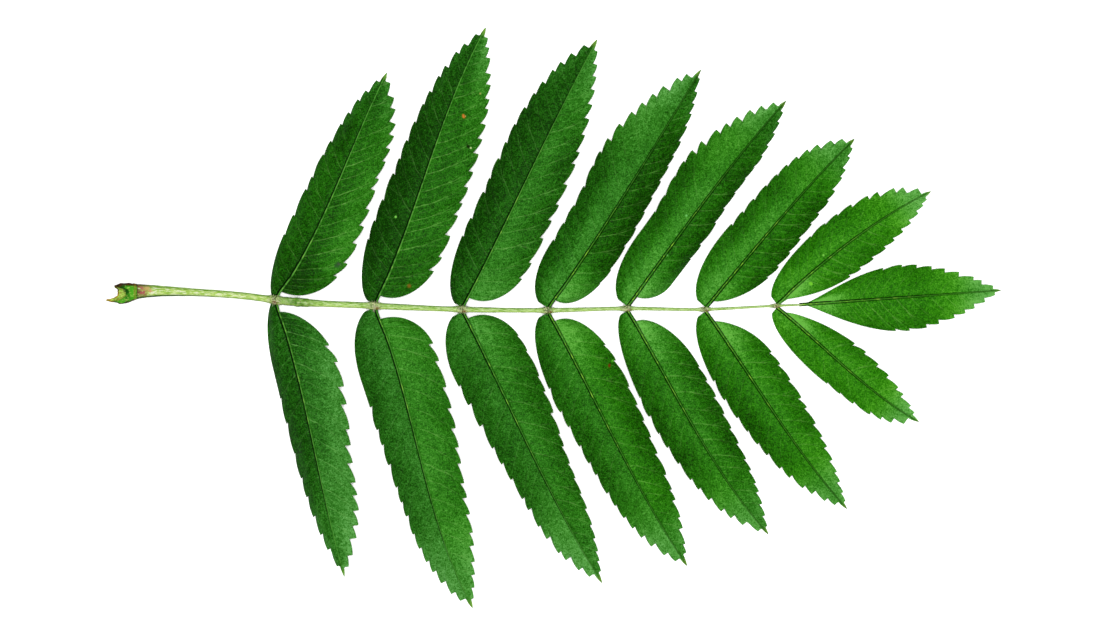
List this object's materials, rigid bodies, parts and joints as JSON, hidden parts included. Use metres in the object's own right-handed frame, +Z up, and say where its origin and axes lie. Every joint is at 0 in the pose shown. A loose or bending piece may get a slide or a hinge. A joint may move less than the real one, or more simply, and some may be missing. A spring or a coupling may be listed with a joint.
{
  "type": "cut rowan leaf",
  "caption": "Feather-shaped compound leaf with a torn swollen stalk foot, a slender stem, opposite pairs of toothed leaflets and one leaflet at the end, lying with its upper side up.",
  "frame": {"origin": "middle of the leaf's box, at the ground it lies on", "axes": "+Z up, out of the leaf's upper side; +X along the stem from the torn foot to the end leaflet; +Y towards the leaflets called left"},
  "size_m": [0.2004, 0.1302, 0.0054],
  "materials": {
    "blade": "satin leaf green",
    "stem": "satin pale green",
    "joint": "matt downy brown",
    "foot": "satin yellow green"
  },
  "bodies": {
    "root": {"torn_foot": "foot", "stalk": "stem", "stem_1": "stem", "stem_2": "stem", "stem_3": "stem", "stem_4": "stem", "stem_5": "stem", "stem_6": "stem", "end_stalk": "stem", "stem_joint_1": "joint", "stem_joint_2": "joint", "stem_joint_3": "joint", "stem_joint_4": "joint", "stem_joint_5": "joint", "stem_joint_6": "joint", "stem_joint_7": "joint", "leaflet_left_1": "blade", "leaflet_left_2": "blade", "leaflet_left_3": "blade", "leaflet_left_4": "blade", "leaflet_left_5": "blade", "leaflet_left_6": "blade", "leaflet_left_7": "blade", "leaflet_right_1": "blade", "leaflet_right_2": "blade", "leaflet_right_3": "blade", "leaflet_right_4": "blade", "leaflet_right_5": "blade", "leaflet_right_6": "blade", "leaflet_right_7": "blade", "leaflet_end": "blade"}
  },
  "joints": []
}
